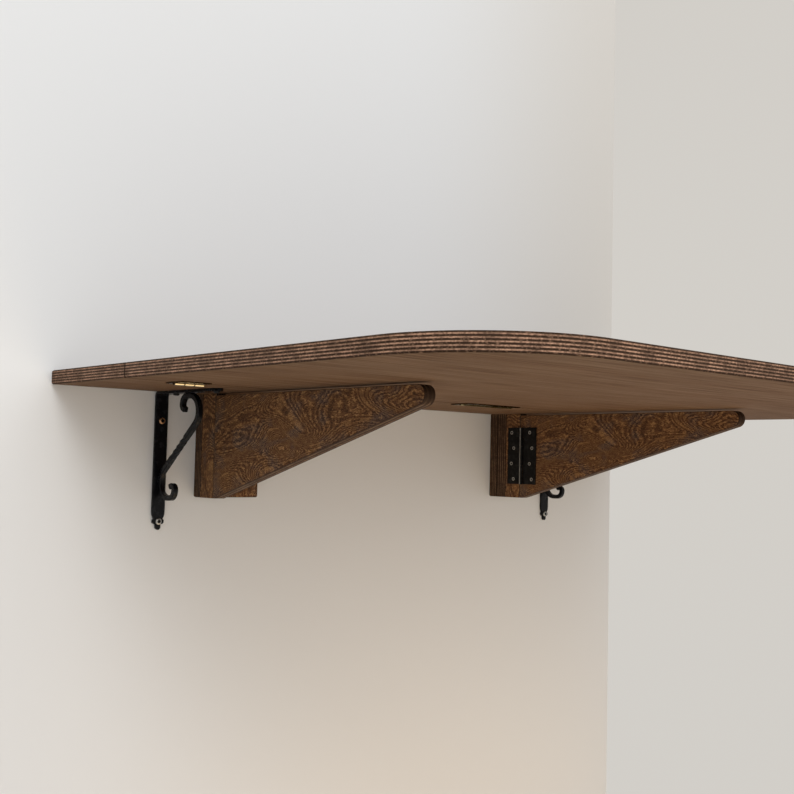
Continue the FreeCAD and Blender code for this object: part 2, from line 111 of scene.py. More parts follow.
# The scroll bars, in millimetres. A move is a (length, 0) line or a (radius, degrees) bend.
SCROLL_BAR = 7.6
SCROLL_REACH = 105.0
SCROLL_DROP = 132.0
TWIST = (46.0, 4)  # length, and quarter turns in it
UPPER_SCROLL = ((22.4, 180.0), (9.0, 0), (12.0, 90.0), (7.0, 75.0))
LOWER_SCROLL = ((20.0, 90.0), (3.0, 0), (20.0, 90.0), (7.8, 0), (11.5, 90.0), (6.0, 120.0))
SCROLL_TIP = ((1.05, 0.36), (0.98, 0.30), (0.76, 0.22), (0.42, 0.10))  # growth, half widths on

# The stage, in metres, and its lights.
STAGE_REACH = 3.2
WALL_HEIGHT = 3.4
FLOOR_DEPTH = 5.0
DAYLIGHT = (0.98, 0.99, 1.0)
FLOOR_GLOW = (1.0, 0.68, 0.34)
ROOM_LIGHT = ((0.985, 0.99, 1.0, 1), 0.48)  # colour and strength from all round

# The camera: its place in metres, its turns in degrees (right, up, over) and its lens.
CAMERA_PLACE = (-1.23184, -1.41237, -0.09584)
CAMERA_TURNS = (41.638, 3.480, 1.344)
CAMERA_LENS, SENSOR_WIDTH = 49.71, 36.0


# ---- Sizes and colours ---------------------------------------------------------------------------


def colour(name, description, value):
    return bpy.props.FloatVectorProperty(
        name=name, description=description, subtype="COLOR", size=4, min=0, max=1, default=value
    )


def distance(name, description, value):
    return bpy.props.FloatProperty(
        name=name, description=description, default=value, min=0, unit="LENGTH", precision=5
    )


class TABLE_PG_timber(bpy.types.PropertyGroup):
    board_stain: colour("Board stain", "Faces of the two boards", (0.152, 0.085, 0.045, 1))
    board_streak: colour("Board streak", "Dark streaks of the boards", (0.072, 0.036, 0.018, 1))
    board_haze: colour("Board haze", "Pale bands of the boards", (0.188, 0.119, 0.071, 1))
    pale_ply: colour("Pale ply", "Layers that show their long grain", (0.540, 0.310, 0.200, 1))
    dark_ply: colour("Dark ply", "Layers that show their end grain", (0.034, 0.018, 0.010, 1))
    # Painted shade: a near black for the board edges that lie in the seam and at the wall.
    painted_shade_ply: colour("Shaded ply", "Edges in the seam and at the wall", (0.016, 0.010, 0.007, 1))
    bracket_stain: colour("Bracket stain", "Ground of the brackets", (0.165, 0.078, 0.034, 1))
    bracket_amber: colour("Bracket amber", "Warm clouds of the brackets", (0.235, 0.108, 0.038, 1))
    bracket_dusk: colour("Bracket dusk", "Cool clouds of the brackets", (0.125, 0.083, 0.064, 1))
    bracket_gold: colour("Bracket gold", "Lines that follow the figure", (0.620, 0.330, 0.130, 1))
    bracket_pore: colour("Bracket pore", "Dark fine streaks", (0.024, 0.012, 0.007, 1))
    bracket_pale_ply: colour("Bracket pale ply", "Long grain of edges", (0.235, 0.140, 0.080, 1))
    bracket_dark_ply: colour("Bracket dark ply", "End grain of edges", (0.028, 0.014, 0.008, 1))
    # End grain, darkened further as painted shade, for faces that look along the grain, such as the
    # arms' ends.
    bracket_end_grain_shade: colour("Bracket end", "Edges that cut across the figure", (0.038, 0.020, 0.011, 1))
    soft_edge: distance("Soft edge", "Width of the round along the wood's edges", 0.35 * MM)
    wall_edge_round: distance("Wall edge round", "Radius of the shelf's rear edges", 4.0 * MM)
    seam_round: distance("Seam round", "Radius of the edges that meet at the hinges", 0.9 * MM)
    plate_corner: distance("Plate corner", "Radius of the wall plates' corners", 3.0 * MM)


class TABLE_PG_metal(bpy.types.PropertyGroup):
    iron: colour("Iron", "Satin black of the scrolled brackets", (0.0045, 0.0048, 0.0060, 1))
    rubbed_iron: colour("Rubbed iron", "Its rubbed spots", (0.011, 0.012, 0.015, 1))
    steel: colour("Hinge steel", "Black of the arm hinges", (0.0050, 0.0045, 0.0045, 1))
    rubbed_steel: colour("Rubbed steel", "Its rubbed spots", (0.020, 0.019, 0.018, 1))
    # Bare steel wear that also serves as a painted highlight down the arm hinge barrels.
    bare_steel_highlight: colour("Worn steel", "Bare steel on the hinge barrels", (0.42, 0.41, 0.38, 1))
    rubbed_black: colour("Rubbed black", "Rubbed spots of black screws", (0.02, 0.02, 0.02, 1))
    brass: colour("Brass", "Barrels of the flap hinges", (0.98, 0.88, 0.58, 1))
    brass_sheen: colour("Brass sheen", "Gloss of the tarnished barrels", (0.30, 0.24, 0.08, 1))
    patina: colour("Patina", "Leaves of the flap hinges", (0.060, 0.038, 0.018, 1))
    copper: colour("Copper", "Upper wall screws", (0.62, 0.37, 0.21, 1))
    zinc: colour("Zinc", "Hinge screws, lower wall screws and pins", (0.45, 0.44, 0.41, 1))
    # Painted shade: a near black for the bottom of the screws' recesses.
    painted_recess_shade: colour("Soot", "Bottom of the screws' recesses", (0.010, 0.008, 0.006, 1))
    soft_edge: distance("Soft edge", "Width of the round along the metal's edges", 0.3 * MM)


class TABLE_PG_stage(bpy.types.PropertyGroup):
    wall: colour("Wall", "Plain wall behind the table", (0.79, 0.79, 0.785, 1))
    # Painted shade: the wall darkens and warms towards its end above the table, where the light
    # falls off.
    painted_shade_wall: colour("Far wall", "The wall towards its end", (0.715, 0.684, 0.637, 1))
    floor: colour("Floor", "Plain floor under the table", (0.78, 0.74, 0.68, 1))
    beyond: colour("Beyond", "What shows past the wall's end", (0.645, 0.620, 0.580, 1))
    wall_end: distance("Wall end", "From the table's middle to the wall's end", 0.622)
    wall_gap: distance("Wall gap", "From the wood's back to the wall", 0.5 * MM)
    floor_drop: distance("Floor drop", "From the table's underside to the floor", 0.95)


# ---- Node trees ----------------------------------------------------------------------------------


class Net:
    """Adds nodes to a tree and links them. A value is a number, a colour or another's output."""

    def __init__(self, tree):
        self.tree = tree

    def feed(self, node, values):
        """Link or set a node's inputs, which are given by name or number."""
        for key, value in dict(values).items():
            if isinstance(value, bpy.types.NodeSocket):
                self.tree.links.new(value, node.inputs[key])
            else:
                node.inputs[key].default_value = value

    def add(self, kind, values=(), **settings):
        node = self.tree.nodes.new(kind)
        for name, setting in settings.items():
            setattr(node, name, setting)
        self.feed(node, values)
        return node

    def group(self, name, values):
        tree = bpy.data.node_groups[name]
        return self.add("ShaderNodeGroup", values, node_tree=tree).outputs

    def math(self, operation, *values):
        return self.add("ShaderNodeMath", enumerate(values), operation=operation).outputs[0]

    def span(self, value, low, high, to_low=0.0, to_high=1.0):
        """Maps the range low to high onto to_low to to_high, smoothly and clamped."""
        values = {"Value": value, "From Min": low, "From Max": high}
        values.update({"To Min": to_low, "To Max": to_high})
        return self.add("ShaderNodeMapRange", values, interpolation_type="SMOOTHSTEP").outputs[0]

    def noise(self, vector, scale, detail=2.0, rough=0.5, distortion=0.0):
        values = {"Vector": vector, "Scale": scale, "Detail": detail, "Roughness": rough}
        return self.add("ShaderNodeTexNoise", {**values, "Distortion": distortion}).outputs[0]

    def stretched(self, vector, x, y, z):
        values = {"Vector": vector, "Scale": (x, y, z)}
        return self.add("ShaderNodeMapping", values).outputs[0]

    def turned(self, vector, angles):
        values = {"Vector": vector, "Rotation": angles}
        return self.add("ShaderNodeMapping", values).outputs[0]

    def axes(self, vector):
        return self.add("ShaderNodeSeparateXYZ", {0: vector}).outputs

    def coordinates(self, kind="Object"):
        return self.add("ShaderNodeTexCoord").outputs[kind]

    def mix(self, share, a, b):
        values = {0: share, 6: a, 7: b}
        return self.add("ShaderNodeMix", values, data_type="RGBA").outputs[2]

    def coated(self, ground, *coats):
        """A ground colour under coats. Each coat is (mask, strength, colour)."""
        for mask, strength, tint in coats:
            ground = self.mix(self.math("MULTIPLY", mask, strength), ground, tint)
        return ground

    def bump(self, height, depth):
        return self.add("ShaderNodeBump", {"Height": height, "Distance": depth}).outputs[0]

    def mixed_shader(self, share, a, b, output):
        mixed = self.add("ShaderNodeMixShader", {0: share, 1: a.outputs[0], 2: b.outputs[0]})
        self.feed(self.tree.nodes[output], {"Surface": mixed.outputs[0]})


def node_group(name, inputs, outputs):
    """A new shader group, with its net, its input sockets by name and its output node."""
    tree = bpy.data.node_groups.new(name, "ShaderNodeTree")
    kinds = {"value": "NodeSocketFloat", "colour": "NodeSocketColor", "vector": "NodeSocketVector"}
    for side, sockets in (("INPUT", inputs), ("OUTPUT", outputs)):
        for socket, kind in sockets.items():
            tree.interface.new_socket(socket, in_out=side, socket_type=kinds[kind])
    net = Net(tree)
    return net, net.add("NodeGroupInput").outputs, net.add("NodeGroupOutput")


def make_straight_grain():
    """Fine pores and soft bands that run along X."""
    net, given, out = node_group(
        "Straight Grain", {"Vector": "vector"}, {"Band": "value", "Pore": "value"}
    )
    band = net.stretched(given["Vector"], 0.35, 9, 9)
    band = net.noise(band, scale=2.2, detail=3, rough=0.55, distortion=0.4)
    pore = net.stretched(given["Vector"], 1.2, 60, 60)
    pore = net.noise(pore, scale=5.0, detail=3, rough=0.6, distortion=0.2)
    net.feed(out, {"Band": net.span(band, 0.32, 0.68), "Pore": net.span(pore, 0.36, 0.66)})


def make_wild_figure():
    """Rotary cut veneer: fine streaks that bend round long islands, and a few bright contours."""
    net, given, out = node_group(
        "Wild Figure", {"Vector": "vector"},
        {name: "value" for name in ("Streak", "Contour", "Amber", "Dusk", "Pore")},
    )
    at = given["Vector"]
    field = net.stretched(at, 0.42, 1.0, 1.0)
    field = net.noise(field, scale=10.0, detail=1.5, rough=0.5, distortion=0.7)
    ragged = net.noise(net.stretched(at, 1.0, 2.4, 2.4), scale=190.0, detail=3, rough=0.65)
    stray = net.math("SUBTRACT", ragged, 0.5)

    def lines(count, wander):
        """Lines along the levels of the field, so many of them, with ragged edges."""
        levels = net.math("MULTIPLY", field, count)
        levels = net.math("ADD", levels, net.math("MULTIPLY", stray, wander))
        return net.math("PINGPONG", levels, 1.0)

    fine, bold = lines(150.0, 4.4), lines(15.0, 0.55)
    broken = net.stretched(at, 1.0, 1.4, 1.4)
    broken = net.noise(broken, scale=120.0, detail=2, rough=0.6, distortion=0.4)
    patchy = net.noise(at, scale=34.0, detail=3, rough=0.6)
    amber = net.stretched(at, 0.6, 1.0, 1.0)
    amber = net.noise(amber, scale=21.0, detail=4, rough=0.65, distortion=0.3)
    dusk = net.stretched(at, 0.7, 1.1, 1.1)
    dusk = net.noise(dusk, scale=27.0, detail=3, rough=0.6, distortion=0.4)
    pore = net.noise(net.stretched(at, 1.0, 4.0, 4.0), scale=300.0, detail=2, rough=0.6)
    net.feed(out, {
        "Streak": net.math("MULTIPLY", net.span(fine, 0.68, 0.98), net.span(broken, 0.36, 0.60)),
        "Contour": net.math("MULTIPLY", net.span(bold, 0.94, 0.99), net.span(patchy, 0.44, 0.60)),
        "Amber": net.span(amber, 0.46, 0.74),
        "Dusk": net.span(dusk, 0.46, 0.66),
        "Pore": net.math("MAXIMUM", net.span(fine, 0.40, 0.06), net.span(pore, 0.52, 0.66, 0, 0.7)),
    })


def make_ply_edge():
    """Crossed layers, counted from one face, with a little waver and speckle along the edge."""
    net, given, out = node_group(
        "Ply Edge",
        {"Vector": "vector", "Layer": "value", "Pale": "colour", "Dark": "colour"},
        {"Color": "colour", "Height": "value"},
    )
    at = given["Vector"]
    waver = net.math("MULTIPLY", net.noise(at, scale=14.0), 0.24)
    fibre = net.noise(at, scale=300.0, detail=3, rough=0.7)
    loose = net.math("MULTIPLY", net.math("SUBTRACT", fibre, 0.5), 0.50)
    count = net.math("ADD", net.math("ADD", given["Layer"], waver), loose)
    half_way = 1.38  # with the mean waver, the face falls half way through a layer
    layer = net.math("PINGPONG", net.math("ADD", count, half_way), 1.0)
    layer = net.span(layer, 0.40, 0.82)
    blotch = net.span(net.noise(at, scale=55.0, detail=3, rough=0.6), 0.34, 0.66, 0.40, 1.0)
    speck = net.span(net.noise(at, scale=430.0, rough=0.6), 0.34, 0.62, 0.45, 1.0)
    tint = net.math("MULTIPLY", net.math("MULTIPLY", layer, blotch), speck)
    soft = net.math("MAXIMUM", tint, net.span(fibre, 0.50, 0.72, 0.0, 0.30))
    net.feed(out, {
        "Color": net.mix(soft, given["Dark"], given["Pale"]),
        "Height": net.math("MULTIPLY", layer, fibre),
    })


def make_rubbed_metal():
    """Faint hammer marks and a mask of rubbed spots."""
    net, given, out = node_group(
        "Rubbed Metal", {"Vector": "vector"}, {"Rub": "value", "Height": "value"}
    )
    spots = net.noise(given["Vector"], scale=130.0, detail=3, rough=0.6)
    marks = net.noise(given["Vector"], scale=320.0)
    net.feed(out, {"Rub": net.span(spots, 0.45, 0.75), "Height": marks})


# ---- Materials -----------------------------------------------------------------------------------


def new_material(name):
    """A material with its net and its Principled shader, whose inputs are still to come."""
    material = bpy.data.materials.new(name)
    material.use_nodes = True
    return material, Net(material.node_tree), material.node_tree.nodes["Principled BSDF"]


def dimmed(tint, share):
    return tuple(min(1, part * share) for part in tint[:3]) + (1,)


def panel_vectors(net, lie, face):
    """A panel's own coordinates: X along its grain and Z down through its layers, from one face.

    Also how far the surface faces along the layers, and how far along the grain, 0 to 1.
    """
    angles = lie.to_euler()
    from_face = {0: net.coordinates(), 1: face}
    moved = net.add("ShaderNodeVectorMath", from_face, operation="SUBTRACT").outputs[0]
    facing = net.axes(net.turned(net.coordinates("Normal"), angles))
    flat, ahead = (net.math("ABSOLUTE", facing[axis]) for axis in (Z, X))
    return net.turned(moved, angles), flat, ahead


def stained_wood(net, shader, flat, faces, edges, depth, roughness):
    """Finish a panel where it lies flat and at its edges, each given by a colour and a relief."""
    (skin, skin_relief), (layers, layer_relief) = faces, edges
    on_face = net.span(flat, 0.75, 0.95)
    height = net.add("ShaderNodeMix", {0: on_face, 2: layer_relief, 3: skin_relief}).outputs[0]
    net.feed(shader, {
        "Base Color": net.mix(on_face, layers, skin),
        "Roughness": roughness,
        "Specular IOR Level": 0.10,
        "Normal": net.bump(height, depth),
    })


def board_plywood(name, looks, thickness, both_edges):
    """Stained boards: fine straight streaks on the faces, plain layers on the edges.

    The rear edge gets painted shade, as it lies in the seam or at the wall, and so does the
    front one of the board that has both edges there.
    """
    material, net, shader = new_material(name)
    own, flat, _ = panel_vectors(net, GRAIN_SIDEWAYS, (0, 0, 0))
    grain = net.group("Straight Grain", {"Vector": own})
    skin = net.coated(
        looks.board_stain, (grain["Band"], 0.7, looks.board_haze),
        (grain["Pore"], 0.8, looks.board_streak),
    )
    edge = net.group("Ply Edge", {
        "Vector": own, "Layer": net.math("MULTIPLY", net.axes(own)[Z], BOARD_PLIES / thickness),
        "Pale": looks.pale_ply, "Dark": looks.dark_ply,
    })
    # Painted shade on the edges that face +Y, towards the wall or the seam, and on the shelf on its
    # front edge in the seam too.
    back = net.axes(net.coordinates("Normal"))[Y]
    shade = net.span(net.math("ABSOLUTE", back) if both_edges else back, 0.15, 0.40)
    layers = net.coated(edge["Color"], (shade, 0.9, looks.painted_shade_ply))
    stained_wood(
        net, shader, flat, (skin, grain["Pore"]), (layers, edge["Height"]),
        depth=0.10 * MM, roughness=net.span(grain["Pore"], 0, 1, 0.68, 0.80),
    )
    return material


def figured_plywood(name, looks, lie, face, thickness, plies):
    """Walnut stained panels: wild figure on the faces, dark layers on the edges, and end grain with
    painted shade where a face looks along the grain.
    """
    material, net, shader = new_material(name)
    own, flat, ahead = panel_vectors(net, lie, face)
    figure = net.group("Wild Figure", {"Vector": own})
    skin = net.coated(
        looks.bracket_stain, (figure["Amber"], 0.40, looks.bracket_amber),
        (figure["Dusk"], 0.85, looks.bracket_dusk), (figure["Pore"], 0.84, looks.bracket_pore),
        (figure["Streak"], 0.72, looks.bracket_gold), (figure["Contour"], 0.65, looks.bracket_gold),
    )
    edge = net.group("Ply Edge", {
        "Vector": own, "Layer": net.math("MULTIPLY", net.axes(own)[Z], plies / thickness),
        "Pale": looks.bracket_pale_ply, "Dark": looks.bracket_dark_ply,
    })
    # End grain with painted shade: faces that look along the grain are darkened.
    end_grain_shade = net.span(ahead, 0.45, 0.85, 0, 0.8)
    layers = net.mix(end_grain_shade, edge["Color"], looks.bracket_end_grain_shade)
    stained_wood(
        net, shader, flat, (skin, figure["Streak"]), (layers, edge["Height"]),
        depth=0.08 * MM, roughness=net.span(figure["Streak"], 0, 1, 0.70, 0.50),
    )
    return material


def metal(name, tint, rubbed, roughness, metallic, depth, gloss=0.5, wear_and_painted_light=None, rim=(1, 1, 1, 1)):
    """A metal with faint marks, whose roughness goes from its plain places to its rubbed ones.

    wear_and_painted_light adds wear and patina, and painted highlights, glints and shade. It is a
    function of the net, the coordinates, the mask of rubbed spots and the colour so far, and gives
    a mask, the colour beside and the colour there.
    """
    material, net, shader = new_material(name)
    at = net.coordinates()
    wear = net.group("Rubbed Metal", {"Vector": at})
    skin = net.mix(wear["Rub"], tint, rubbed)
    if wear_and_painted_light:
        skin = net.mix(*wear_and_painted_light(net, at, wear["Rub"], skin))
    net.feed(shader, {
        "Base Color": skin,
        "Roughness": net.span(wear["Rub"], 0, 1, *roughness),
        "Metallic": metallic,
        "Specular IOR Level": gloss,
        "Specular Tint": rim,
        "Normal": net.bump(wear["Height"], depth),
    })
    return material


def worn_crest_highlight(crest, outward, bare):
    """Bare steel in a thin line down a barrel, where it stands out most along X: wear, and a
    painted highlight.
    """
    def wear_and_painted_light(net, at, rub, skin):
        depth = net.math("MULTIPLY", net.math("SUBTRACT", crest, net.axes(at)[X]), outward)
        line = net.span(depth, 0.04 * MM, 0.22 * MM, 1.0, 0.0)
        return net.math("MULTIPLY", line, net.span(rub, 0, 1, 0.55, 1)), skin, bare
    return wear_and_painted_light


def patina_and_painted_glints(start, run, crest, glint_width, patina, painted_glint_end=None):
    """Patina on a flap hinge, but for the lowest line of its barrel, left bright as a painted
    highlight. The gaps between its knuckles get the patina as painted shade.

    The barrel runs along X from its start. A painted glint may be given to its first few
    millimetres.
    """
    def wear_and_painted_light(net, at, rub, skin):
        place = net.axes(at)
        above = net.math("SUBTRACT", place[Z], crest)
        # Patina above the barrel's lowest line, which stays bright as a painted highlight.
        flanks = net.span(above, glint_width, glint_width + 0.6 * MM)
        along = net.math("SUBTRACT", place[X], start)
        third = net.math("PINGPONG", along, run / 3)
        gap = net.math("MINIMUM", third, net.math("SUBTRACT", run / 3, third))
        # Painted shade in the gaps between the knuckles.
        gap = net.span(gap, 0.6 * MM, 1.1 * MM, 1.0, 0.0)
        # A painted glint of bright brass over the barrel's first few millimetres.
        if painted_glint_end:
            skin = net.mix(net.span(along, 5 * MM, 9 * MM, 1.0, 0.0), skin, painted_glint_end)
        return net.math("MAXIMUM", flanks, gap), skin, patina
    return wear_and_painted_light


def one_sided_paint(name, tint, far=None, end=0.0):
    """Matt paint that the camera sees from its front only, so that it hides nothing from behind.

    A painted shade colour comes in above the table, towards an end along X.
    """
    material, net, shader = new_material(name)
    # Painted shade above the table towards the wall's end.
    if far:
        place = net.axes(net.coordinates())
        share = net.math("MULTIPLY", net.span(place[X], 0.0, end), net.span(place[Z], -0.25, 0.25))
        tint = net.mix(share, tint, far)
    net.feed(shader, {"Base Color": tint, "Roughness": 0.9, "Specular IOR Level": 0.1})
    behind = net.math(
        "MULTIPLY", net.add("ShaderNodeNewGeometry").outputs["Backfacing"],
        net.add("ShaderNodeLightPath").outputs["Is Camera Ray"],
    )
    clear = net.add("ShaderNodeBsdfTransparent")
    net.mixed_shader(behind, shader, clear, "Material Output")
    return material


# ---- Pieces --------------------------------------------------------------------------------------


def solid_of(node):
    """A clean mesh of a CAD node: its loose triangles joined and its flat faces made whole."""
    bm = bmesh.new()
    bm.from_mesh(frame["nodes"][node].data)
    bmesh.ops.remove_doubles(bm, verts=bm.verts, dist=1e-6)
    bmesh.ops.dissolve_limit(
        bm, angle_limit=math.radians(0.3), use_dissolve_boundaries=False,
        verts=bm.verts, edges=bm.edges,
    )
    return bm


def mesh_of(bm, name):
    mesh = bpy.data.meshes.new(name)
    bm.to_mesh(mesh)
    bm.free()
    return mesh


def stand(name, data):
    """A new object in the scene, at the origin."""
    piece = bpy.data.objects.new(name, data)
    bpy.context.scene.collection.objects.link(piece)
    return piece


def show(bm, node, material, soft_edge=0.0, sharp=30.0, segments=2):
    """Make the piece that stands for a CAD node and moves with the node's body."""
    for face in bm.faces:
        face.smooth = True
    for edge in bm.edges:
        edge.smooth = edge.calc_face_angle(0.0) < math.radians(sharp)
    name = node + "_finished"
    mesh = mesh_of(bm, name)
    mesh.materials.append(material)
    piece = stand(name, mesh)
    if soft_edge:
        bevel = piece.modifiers.new("Soft edge", "BEVEL")
        bevel.width = soft_edge
        bevel.segments = segments
        bevel.limit_method = "ANGLE"
        bevel.angle_limit = math.radians(sharp)
        bevel.harden_normals = True
    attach(piece, frame["nodes"][node]["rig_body"])
    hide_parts(node)


def dress(node, material, soft_edge):
    show(solid_of(node), node, material, soft_edge)


def round_edges(bm, radius, along, here, segments):
    """Round the edges that run along an axis and whose ends are both here."""
    edges = []
    for edge in bm.edges:
        way = edge.verts[1].co - edge.verts[0].co
        if abs(way[along]) > 0.99 * way.length and all(here(vert.co) for vert in edge.verts):
            edges.append(edge)
    if not edges:
        raise RuntimeError("no edge to round")
    bmesh.ops.bevel(
        bm, geom=edges, affect="EDGES", offset=radius, segments=segments, profile=0.5,
        material=-1, clamp_overlap=False,
    )


def shave(bm, corner, outward, radius):
    """Round an edge along X that passes a corner, by flats round it, each cut and then closed."""
    middle = corner - outward * radius
    for turn in (-30, -15, 0, 15, 30):
        normal = Matrix.Rotation(math.radians(turn), 3, "X") @ outward.normalized()
        geom = bm.verts[:] + bm.edges[:] + bm.faces[:]
        bmesh.ops.bisect_plane(
            bm, geom=geom, plane_co=middle + normal * radius, plane_no=normal, clear_outer=True
        )
        rim = [edge for edge in bm.edges if edge.is_boundary]
        bmesh.ops.holes_fill(bm, edges=rim, sides=len(rim))
    bmesh.ops.recalc_face_normals(bm, faces=bm.faces)


def solid_boxes(node):
    """The lowest and highest corner of each separate solid of a CAD node."""
    bm = solid_of(node)
    known, boxes = set(), []
    for first in bm.verts:
        if first in known:
            continue
        known.add(first)
        solid = [first]
        for vert in solid:
            for edge in vert.link_edges:
                other = edge.other_vert(vert)
                if other not in known:
                    known.add(other)
                    solid.append(other)
        boxes.append([
            Vector(pick(vert.co[i] for vert in solid) for i in range(3)) for pick in (min, max)
        ])
    bm.free()
    return boxes


def grow(bm, face, matrix, steps=1):
    """Extrude a face and move its copy by a matrix, as many times as there are steps."""
    for _ in range(steps):
        face = bmesh.ops.extrude_discrete_faces(bm, faces=[face])["faces"][0]
        bmesh.ops.transform(bm, matrix=matrix, verts=face.verts)
    return face


def verts_in(geom):
    return [part for part in geom if isinstance(part, bmesh.types.BMVert)]


def screw_mesh(rings, recess, sides):
    """A screw along +Z. Its rings are (radius, depth) from the flat of its head to its end.

    A crossed recess is sunk into the flat: (reach and half width of its arms, depth).
    """
    reach, width, sink = recess
    bm = bmesh.new()
    painted_recess_shade = bm.verts.layers.float.new("Recess")
    bmesh.ops.create_circle(bm, cap_ends=True, segments=sides, radius=rings[0][0])
    for normal in (Vector((1, 0, 0)), Vector((0, 1, 0))):
        for offset in (-reach, -width, width, reach):
            geom = bm.verts[:] + bm.edges[:] + bm.faces[:]
            bmesh.ops.bisect_plane(bm, geom=geom, plane_co=normal * offset, plane_no=normal)
    cross = []
    for face in bm.faces:
        narrow, wide = sorted(abs(part) for part in face.calc_center_median()[:2])
        if narrow < width and wide < reach:
            cross.append(face)
    sunk = verts_in(bmesh.ops.extrude_face_region(bm, geom=cross)["geom"])
    bmesh.ops.delete(bm, geom=[face for face in cross if face.is_valid], context="FACES")
    # Mark the sunk corners, where the recess gets painted shade.
    for vert in sunk:
        vert[painted_recess_shade] = 1.0
    bmesh.ops.scale(bm, vec=(RECESS_TAPER, RECESS_TAPER, 1), verts=sunk)
    bmesh.ops.translate(bm, vec=(0, 0, sink), verts=sunk)
    for (radius, depth), (next_radius, next_depth) in zip(rings, rings[1:]):
        rim = [edge for edge in bm.edges if edge.is_boundary]
        verts = verts_in(bmesh.ops.extrude_edge_only(bm, edges=rim)["geom"])
        share = next_radius / radius
        bmesh.ops.scale(bm, vec=(share, share, 1), verts=verts)
        bmesh.ops.translate(bm, vec=(0, 0, next_depth - depth), verts=verts)
    rim = [edge for edge in bm.edges if edge.is_boundary]
    bmesh.ops.holes_fill(bm, edges=rim, sides=len(rim))
    bmesh.ops.recalc_face_normals(bm, faces=bm.faces)
    return mesh_of(bm, "screw")


def countersunk_rings(head, shank, length):
    """A flat head whose cone runs into the shank."""
    rim, point = 0.12 * MM, 3 * MM
    return [
        (head, 0), (head * 0.985, rim), (shank, head - shank), (shank, length - point),
        (shank * 0.3, length),
    ]


def pan_rings(head, shank, length, thread_from=None):
    """A low domed head. The shank may have a thread from some depth on."""
    rings = [(head * share, depth * MM) for share, depth in PAN_HEAD]
    rings.append((shank, rings[-1][1]))
    if thread_from is None:
        return rings + [(shank, length - 3 * MM), (shank * 0.3, length)]
    crest, root, pitch, plain_end, point = 1.85 * MM, 1.35 * MM, 1.9 * MM, 5 * MM, 4 * MM
    rings += [(shank, thread_from - 0.1 * MM), (root, thread_from)]
    for turn in range(int((length - thread_from - plain_end) / pitch)):
        depth = thread_from + turn * pitch
        rings += [(crest, depth + 0.5 * pitch), (root, depth + pitch)]
    return rings + [(root, length - point), (root * 0.25, length)]


def fit_screws(node, material, direction, rings_of, recess, sides=16):
    """Stand a screw in the place of each solid of a CAD node, driven along a direction."""
    direction = Vector(direction)
    axis = max(range(3), key=lambda i: abs(direction[i]))
    turn = Vector((0, 0, 1)).rotation_difference(direction).to_matrix().to_4x4()
    bm = bmesh.new()
    bm.verts.layers.float.new("Recess")
    for low, high in solid_boxes(node):
        top = (low + high) / 2
        top[axis] = low[axis] if direction[axis] > 0 else high[axis]
        mesh = screw_mesh(rings_of(high[axis] - low[axis]), recess, sides)
        known = len(bm.verts)
        bm.from_mesh(mesh)
        bpy.data.meshes.remove(mesh)
        bm.verts.ensure_lookup_table()
        place = Matrix.Translation(top) @ turn
        bmesh.ops.transform(bm, matrix=place, verts=bm.verts[known:])
    show(bm, node, material, sharp=35.0)


class Scroll:
    """A square bar that is bent and twisted as it grows, in an upright plane that faces along X.

    A place in the plane is (out from the wall, up), in metres, and bends turn to the left.
    """

    def __init__(self, x, place, heading, width):
        self.bm = bmesh.new()
        self.x, self.place, self.heading, self.width = x, place, heading, width
        flat = bmesh.ops.create_circle(
            self.bm, cap_ends=True, segments=4, radius=width * math.sqrt(0.5),
            matrix=Matrix.Rotation(math.radians(45), 4, "Z"),
        )
        ahead = self.ahead()
        across = Vector((1, 0, 0))
        turn = Matrix((across, ahead.cross(across), ahead)).transposed().to_4x4()
        matrix = Matrix.Translation(self.spot()) @ turn
        bmesh.ops.transform(self.bm, matrix=matrix, verts=flat["verts"])
        self.end = self.bm.faces[:][0]

    def ahead(self):
        return Vector((0, -math.cos(self.heading), math.sin(self.heading)))

    def spot(self):
        return Vector((self.x, -self.place[0], self.place[1]))

    def go(self, step, change):
        """Grow by one step, with the end changed about its middle on the way."""
        at = self.spot()
        matrix = Matrix.Translation(at + step) @ change @ Matrix.Translation(-at)
        self.end = grow(self.bm, self.end, matrix)
        self.place = (self.place[0] - step.y, self.place[1] + step.z)

    def line(self, length, turn=0.0, steps=1):
        """A straight run, twisted by an angle on its way."""
        step = self.ahead() * (length / steps)
        for _ in range(steps):
            self.go(step, Matrix.Rotation(turn / steps, 4, self.ahead()))

    def bend(self, radius, degrees):
        turn, steps = math.radians(degrees), max(3, round(degrees / 6))
        centre = (self.place[0] - radius * math.sin(self.heading),
                  self.place[1] + radius * math.cos(self.heading))
        hub = Vector((self.x, -centre[0], centre[1]))
        spin = Matrix.Rotation(turn / steps, 4, Vector((-1, 0, 0)))
        matrix = Matrix.Translation(hub) @ spin @ Matrix.Translation(-hub)
        self.end = grow(self.bm, self.end, matrix, steps)
        self.heading += turn
        self.place = (centre[0] + radius * math.sin(self.heading),
                      centre[1] - radius * math.cos(self.heading))

    def follow(self, moves):
        for size, degrees in moves:
            if degrees:
                self.bend(size * MM, degrees)
            else:
                self.line(size * MM)

    def tip(self):
        """A blunt end, a little swollen and then rounded off."""
        for growth, half_widths in SCROLL_TIP:
            self.go(self.ahead() * (self.width / 2 * half_widths), Matrix.Scale(growth, 4))

    def turn_back(self, place, heading):
        """Close the end that the bar started from, and go on from there the other way."""
        rim = [edge for edge in self.bm.edges if edge.is_boundary]
        self.end = bmesh.ops.holes_fill(self.bm, edges=rim, sides=4)["faces"][0]
        self.place, self.heading = place, heading


